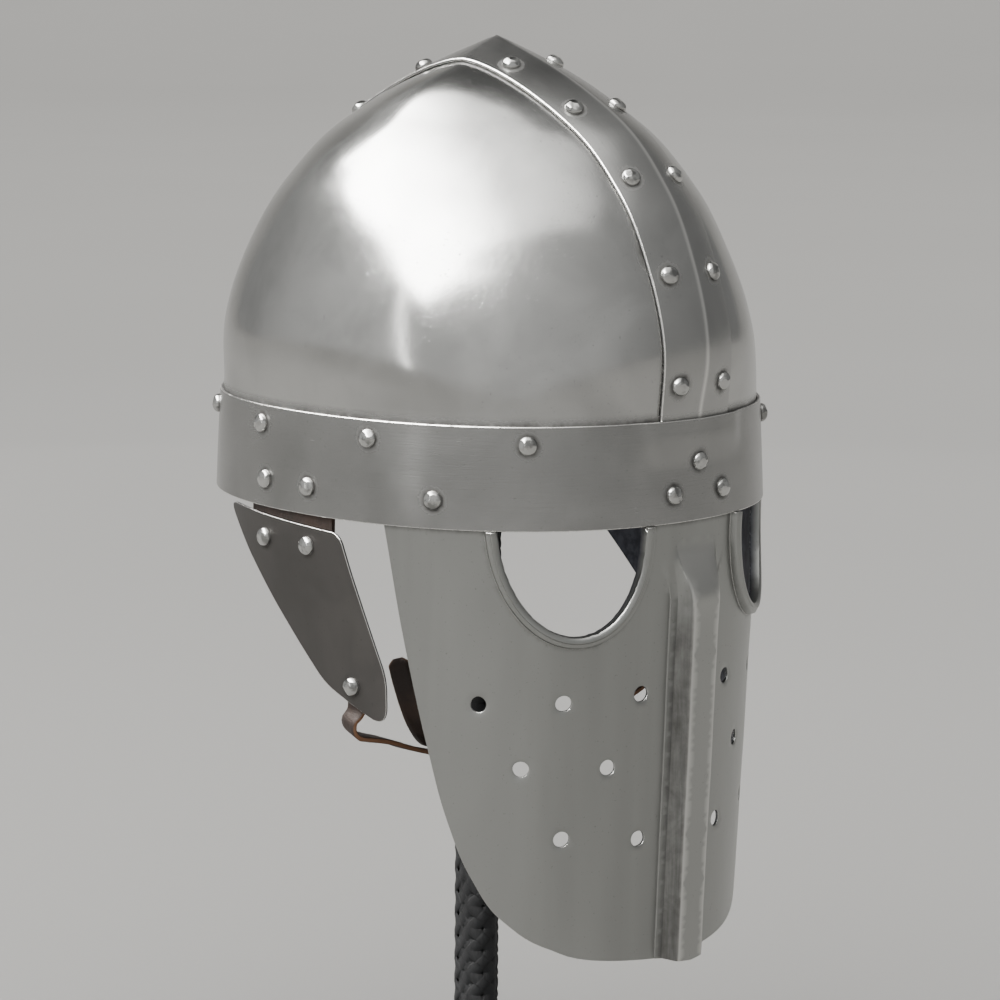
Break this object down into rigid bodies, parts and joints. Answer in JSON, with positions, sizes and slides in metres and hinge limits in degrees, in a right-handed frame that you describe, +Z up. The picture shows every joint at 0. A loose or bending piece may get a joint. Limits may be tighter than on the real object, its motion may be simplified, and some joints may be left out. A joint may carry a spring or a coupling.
{
  "type": "norse iron helmet on a plain stand",
  "caption": "Riveted iron helmet with crest and brow bands, full face plate with rimmed eye openings, leather-hung cheek plates and chin strap, on a plain post stand.",
  "frame": {"origin": "on the floor, at the middle of the whole part's width and depth, under the stand's base", "axes": "+Z up; the face looks along -Y; the wearer's left is +X"},
  "size_m": [0.219, 0.2479, 0.4693],
  "materials": {
    "polished_iron": "polished iron with a soft satin, darker grime round rivets and joints",
    "dull_iron": "darker, matte iron of the cheek plates and slide",
    "leather": "dark brown strap leather with paler cut edges",
    "stand_black": "blackened iron base and cap, dark plaited post"
  },
  "bodies": {
    "root": {"bowl_left": "polished_iron", "bowl_right": "polished_iron", "brow_band": "polished_iron", "brow_rivet_left_1": "polished_iron", "brow_rivet_left_2": "polished_iron", "brow_rivet_left_3": "polished_iron", "brow_rivet_left_4": "polished_iron", "brow_rivet_rear": "polished_iron", "brow_rivet_right_1": "polished_iron", "brow_rivet_right_2": "polished_iron", "brow_rivet_right_3": "polished_iron", "brow_rivet_right_4": "polished_iron", "cheek_hinge_left": "leather", "cheek_hinge_right": "leather", "cheek_plate_left": "dull_iron", "cheek_plate_right": "dull_iron", "cheek_rivet_left_1": "polished_iron", "cheek_rivet_left_2": "polished_iron", "cheek_rivet_right_1": "polished_iron", "cheek_rivet_right_2": "polished_iron", "chin_slide": "dull_iron", "chin_strap_long": "leather", "chin_strap_short": "leather", "crest_band": "polished_iron", "crest_rivet_front_left_1": "polished_iron", "crest_rivet_front_left_2": "polished_iron", "crest_rivet_front_left_3": "polished_iron", "crest_rivet_front_left_4": "polished_iron", "crest_rivet_front_left_5": "polished_iron", "crest_rivet_front_right_1": "polished_iron", "crest_rivet_front_right_2": "polished_iron", "crest_rivet_front_right_3": "polished_iron", "crest_rivet_front_right_4": "polished_iron", "crest_rivet_front_right_5": "polished_iron", "crest_rivet_rear_left_1": "polished_iron", "crest_rivet_rear_left_2": "polished_iron", "crest_rivet_rear_left_3": "polished_iron", "crest_rivet_rear_left_4": "polished_iron", "crest_rivet_rear_left_5": "polished_iron", "crest_rivet_rear_right_1": "polished_iron", "crest_rivet_rear_right_2": "polished_iron", "crest_rivet_rear_right_3": "polished_iron", "crest_rivet_rear_right_4": "polished_iron", "crest_rivet_rear_right_5": "polished_iron", "face_plate": "polished_iron", "face_rivet_left": "polished_iron", "face_rivet_right": "polished_iron", "face_rivet_side_left": "polished_iron", "face_rivet_side_right": "polished_iron", "face_rivet_top": "polished_iron", "hinge_rivet_left_1": "polished_iron", "hinge_rivet_left_2": "polished_iron", "hinge_rivet_right_1": "polished_iron", "hinge_rivet_right_2": "polished_iron", "stand_base": "stand_black", "stand_cap": "stand_black", "stand_post": "stand_black", "strap_rivet_left": "polished_iron", "strap_rivet_right": "polished_iron"}
  },
  "joints": []
}
